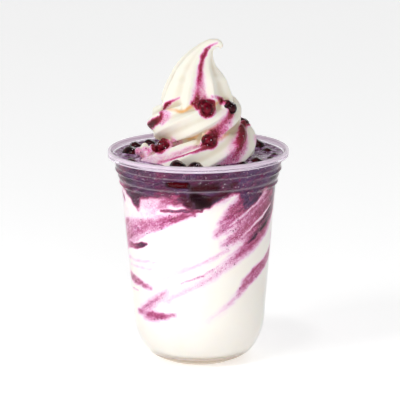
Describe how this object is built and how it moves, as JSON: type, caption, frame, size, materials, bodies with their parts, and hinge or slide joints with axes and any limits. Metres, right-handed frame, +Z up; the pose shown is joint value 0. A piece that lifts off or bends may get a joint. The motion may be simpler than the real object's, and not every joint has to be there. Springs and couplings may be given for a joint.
{
  "type": "ice cream sundae",
  "caption": "Clear tapered cup with a curled rim, filled with soft-serve ice cream that coils up to a hooked peak over a layer of dark fruit sauce and whole berries.",
  "frame": {"origin": "centre of the cup's foot, on the surface it stands on", "axes": "+Z up along the cup's axis, -Y towards the front, which the picture shows, +X to the right seen from there"},
  "size_m": [0.095, 0.095, 0.1703],
  "materials": {
    "clear_plastic": "clear and glossy, thin moulded plastic",
    "soft_serve": "smooth, softly shining",
    "blueberry_sauce": "wet gloss",
    "blueberry_skin": "wet gloss from the sauce on it"
  },
  "bodies": {
    "root": {"blueberry_01": "blueberry_skin", "blueberry_02": "blueberry_skin", "blueberry_03": "blueberry_skin", "blueberry_04": "blueberry_skin", "blueberry_05": "blueberry_skin", "blueberry_06": "blueberry_skin", "blueberry_07": "blueberry_skin", "blueberry_08": "blueberry_skin", "blueberry_09": "blueberry_skin", "blueberry_10": "blueberry_skin", "blueberry_11": "blueberry_skin", "blueberry_12": "blueberry_skin", "blueberry_13": "blueberry_skin", "blueberry_14": "blueberry_skin", "blueberry_15": "blueberry_skin", "blueberry_16": "blueberry_skin", "blueberry_17": "blueberry_skin", "blueberry_18": "blueberry_skin", "blueberry_19": "blueberry_skin", "blueberry_20": "blueberry_skin", "blueberry_21": "blueberry_skin", "blueberry_22": "blueberry_skin", "blueberry_23": "blueberry_skin", "blueberry_24": "blueberry_skin", "blueberry_25": "blueberry_skin", "blueberry_26": "blueberry_skin", "blueberry_27": "blueberry_skin", "blueberry_28": "blueberry_skin", "blueberry_sauce": "blueberry_sauce", "cup": "clear_plastic", "ice_cream": "soft_serve"}
  },
  "joints": []
}
